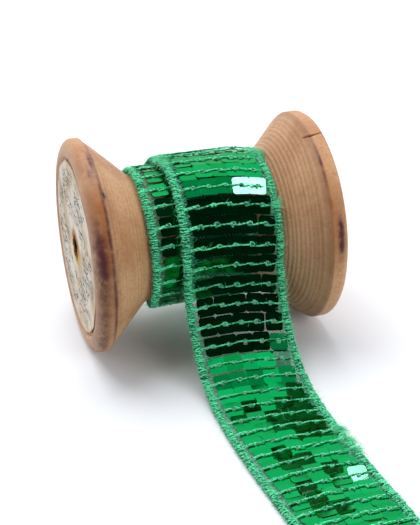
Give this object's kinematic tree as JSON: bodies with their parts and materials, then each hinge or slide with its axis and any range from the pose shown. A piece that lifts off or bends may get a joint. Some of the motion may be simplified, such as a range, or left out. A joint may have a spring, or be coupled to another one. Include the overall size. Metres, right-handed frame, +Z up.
{
  "type": "sequin trim on a wooden spool",
  "caption": "Green square-sequin trim with corded edges, wound on the hub of a turned wooden spool that lies on its rims, its loose end laid out in front.",
  "frame": {"origin": "middle of the bottom of the whole object's box, on the surface it stands on", "axes": "+X along the spool's axis towards its bare end, +Y towards the back of the spool with the loose end running forward along -Y, +Z up"},
  "size_m": [0.0642, 0.1326, 0.0549],
  "materials": {
    "spool_wood": "bare turned wood, worn, with darker stained rims",
    "label_paper": "old mottled cream paper",
    "trim_sequins": "metallized mirror-gloss film",
    "trim_thread": "slightly lustrous twisted thread and cord"
  },
  "bodies": {
    "root": {"spool": "spool_wood", "end_label": "label_paper", "sequin_trim": "trim_sequins"}
  },
  "joints": []
}
